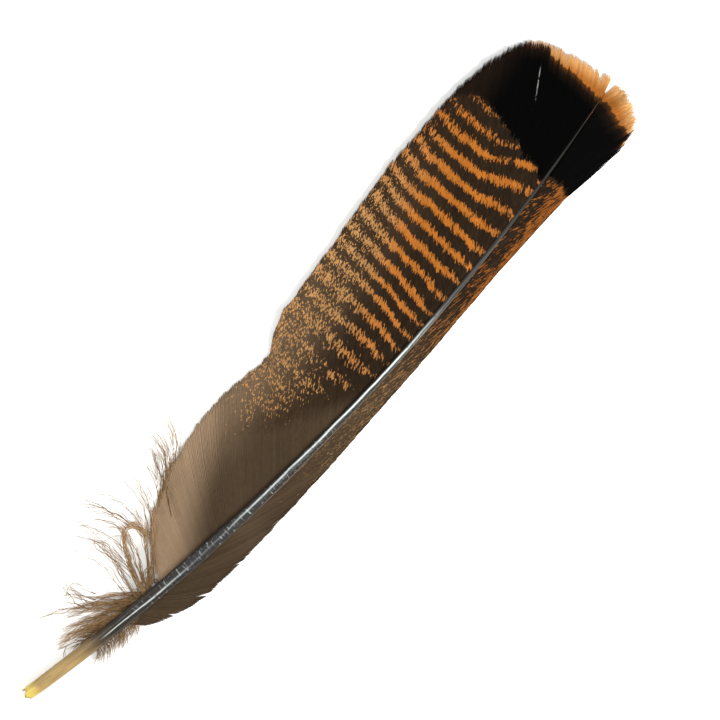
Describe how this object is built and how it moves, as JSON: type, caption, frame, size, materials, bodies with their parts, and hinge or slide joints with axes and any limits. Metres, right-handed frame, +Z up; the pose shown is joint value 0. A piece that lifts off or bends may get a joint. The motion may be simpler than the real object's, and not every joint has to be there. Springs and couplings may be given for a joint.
{
  "type": "turkey tail feather",
  "caption": "Loose turkey tail feather with a bowed quill, unequal barred vanes, a dark band and a pale cinnamon tip, and down at the quill end; lies flat as decoration.",
  "frame": {"origin": "middle of the footprint, on the surface the feather lies on", "axes": "+Y runs from the quill end to the tip, +X points toward the narrow vane, +Z is up, with the feather's upper side up"},
  "size_m": [0.0667, 0.3228, 0.0055],
  "materials": {
    "quill": "smooth straw coloured horn at the quill end, turning dark grey up the shaft",
    "wide_vane": "fine combed barbs, taupe then barred dark brown and orange, black band, cinnamon tip",
    "narrow_vane": "fine combed barbs, dark brown flecked with orange, black band, cinnamon tip",
    "down": "loose matt grey brown down"
  },
  "bodies": {
    "root": {"quill": "quill", "wide_vane": "wide_vane", "narrow_vane": "narrow_vane", "upper_down_tuft": "down", "middle_down_tuft": "down", "lower_down_tuft": "down", "narrow_side_down": "down"}
  },
  "joints": []
}
